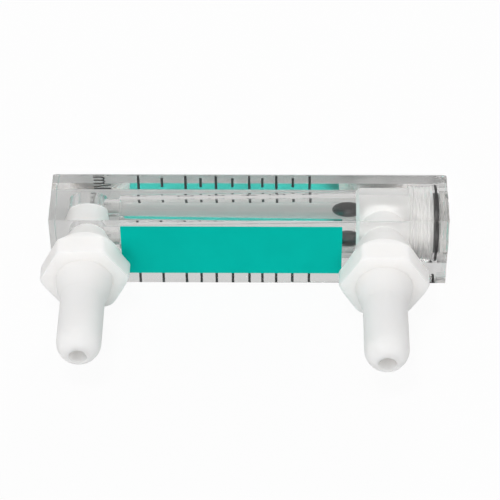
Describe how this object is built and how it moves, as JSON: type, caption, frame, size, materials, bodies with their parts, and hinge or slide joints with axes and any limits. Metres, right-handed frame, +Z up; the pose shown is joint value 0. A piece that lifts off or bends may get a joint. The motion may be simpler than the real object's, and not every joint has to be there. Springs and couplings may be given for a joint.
{
  "type": "oxygen flowmeter",
  "caption": "Clear acrylic block flowmeter lying on its side, with a ball float in a tapered bore, a screwed end plug and barbed hose fittings at the back.",
  "frame": {"origin": "middle of the block's side face that it lies on", "axes": "+X along the block from the inlet end to the plug end, -Y the way the hose fittings point, +Z up"},
  "size_m": [0.1089, 0.0632, 0.0233],
  "materials": {
    "clear_acrylic": "polished cast acrylic",
    "white_nylon": "moulded, satin",
    "black_rubber": "smooth nitrile",
    "black_float": "polished",
    "teal_label": "printed film"
  },
  "bodies": {
    "housing": {"meter_body": "clear_acrylic", "end_plug": "clear_acrylic", "plug_o_ring": "black_rubber", "inlet_fitting": "white_nylon", "outlet_fitting": "white_nylon", "back_label": "teal_label"},
    "float": {"float_ball": "black_float"}
  },
  "joints": [
    {"name": "float_slide", "type": "slide", "parent": "housing", "child": "float", "axis": [0.9998, 0, -0.0213], "range_m": [-0.0582, 0]}
  ]
}
